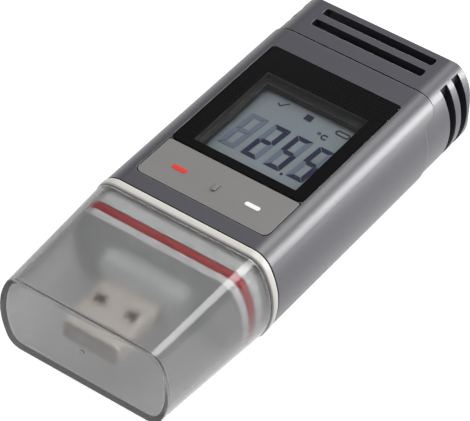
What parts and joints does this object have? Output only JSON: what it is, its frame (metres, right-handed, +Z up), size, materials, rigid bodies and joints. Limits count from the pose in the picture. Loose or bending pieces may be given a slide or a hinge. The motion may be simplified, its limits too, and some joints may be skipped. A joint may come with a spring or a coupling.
{
  "type": "temperature data logger",
  "caption": "Pocket temperature data logger: bulged flat housing, segment display, rocker key, vented sensor end and a plug under a clear sealed cap.",
  "frame": {"origin": "under the middle of the whole logger, on the surface that it rests on", "axes": "+Z up through the display, +Y along the length towards the vented end, +X to the right of the display"},
  "size_m": [0.0412, 0.0958, 0.0207],
  "materials": {
    "shell_plastic": "fine texture, satin",
    "ring_plastic": "satin",
    "collar_plastic": "satin",
    "seal_rubber": "smooth",
    "door_rubber": "smooth",
    "clear_plastic": "smoke clear, polished",
    "plug_steel": "satin",
    "plug_plastic": "matt",
    "gilt": "bright",
    "key_plastic": "matt",
    "red_mark": "gloss",
    "white_mark": "gloss",
    "black_plastic": "matt",
    "window_pane": "polished",
    "mask_ink": "gloss",
    "display_glass": "satin",
    "reflector_film": "satin",
    "segment_dark": "satin",
    "segment_faint": "satin",
    "zebra_rubber": "matt",
    "board": "solder mask",
    "chip_black": "matt",
    "capacitor_ceramic": "matt",
    "bright_steel": "plated",
    "sensor_resin": "gloss"
  },
  "bodies": {
    "housing": {"front_shell": "shell_plastic", "vent_cover": "shell_plastic", "rear_cover": "shell_plastic", "case_screws": "bright_steel", "trim_ring": "ring_plastic", "plug_collar": "collar_plastic", "seal_ring": "seal_rubber", "plug_shell": "plug_steel", "plug_tongue": "plug_plastic", "plug_contacts": "gilt", "stop_switch": "black_plastic", "start_switch": "black_plastic", "display_window": "window_pane", "window_mask": "mask_ink", "lcd_frame": "black_plastic", "lcd_front_glass": "display_glass", "lcd_rear_glass": "display_glass", "lcd_reflector": "reflector_film", "lcd_segments_on": "segment_dark", "lcd_segments_off": "segment_faint", "zebra_strips": "zebra_rubber", "circuit_board": "board", "controller_chip": "chip_black", "memory_chip": "chip_black", "clock_crystal": "bright_steel", "chip_capacitors": "capacitor_ceramic", "chip_resistors": "chip_black", "board_screws": "bright_steel", "battery_holder": "black_plastic", "battery_clip": "bright_steel", "battery_spring": "bright_steel", "coin_cell": "bright_steel", "sensor_bulkhead": "black_plastic", "temperature_sensor": "sensor_resin", "sensor_leads": "bright_steel"},
    "cap": {"usb_cap": "clear_plastic"},
    "key": {"key_plate": "key_plastic", "stop_mark": "red_mark", "start_mark": "white_mark"},
    "stop_button": {"stop_plunger": "black_plastic"},
    "start_button": {"start_plunger": "black_plastic"},
    "door": {"battery_door": "shell_plastic", "door_seal": "door_rubber"}
  },
  "joints": [
    {"name": "cap_slide", "type": "slide", "parent": "housing", "child": "cap", "axis": [0, -1, 0], "range_m": [0, 0.028]},
    {"name": "key_rock", "type": "hinge", "parent": "housing", "child": "key", "pos_m": [0, -0.00844, 0.0177], "axis": [0, 1, 0], "range_deg": [-1.6, 1.6], "stiffness_Nm_per_rad": 0.46},
    {"name": "stop_press", "type": "slide", "parent": "housing", "child": "stop_button", "axis": [0, 0, -1], "range_m": [-0.00024, 0.00024]},
    {"name": "start_press", "type": "slide", "parent": "housing", "child": "start_button", "axis": [0, 0, -1], "range_m": [-0.00024, 0.00024]},
    {"name": "door_turn", "type": "hinge", "parent": "housing", "child": "door", "pos_m": [0, 0.00891, 0.001], "axis": [0, 0, -1], "range_deg": [0, 40]}
  ],
  "couplings": [
    {"joint": "stop_press", "follows": "key_rock", "m_per_rad": -0.008},
    {"joint": "start_press", "follows": "key_rock", "m_per_rad": 0.008}
  ]
}
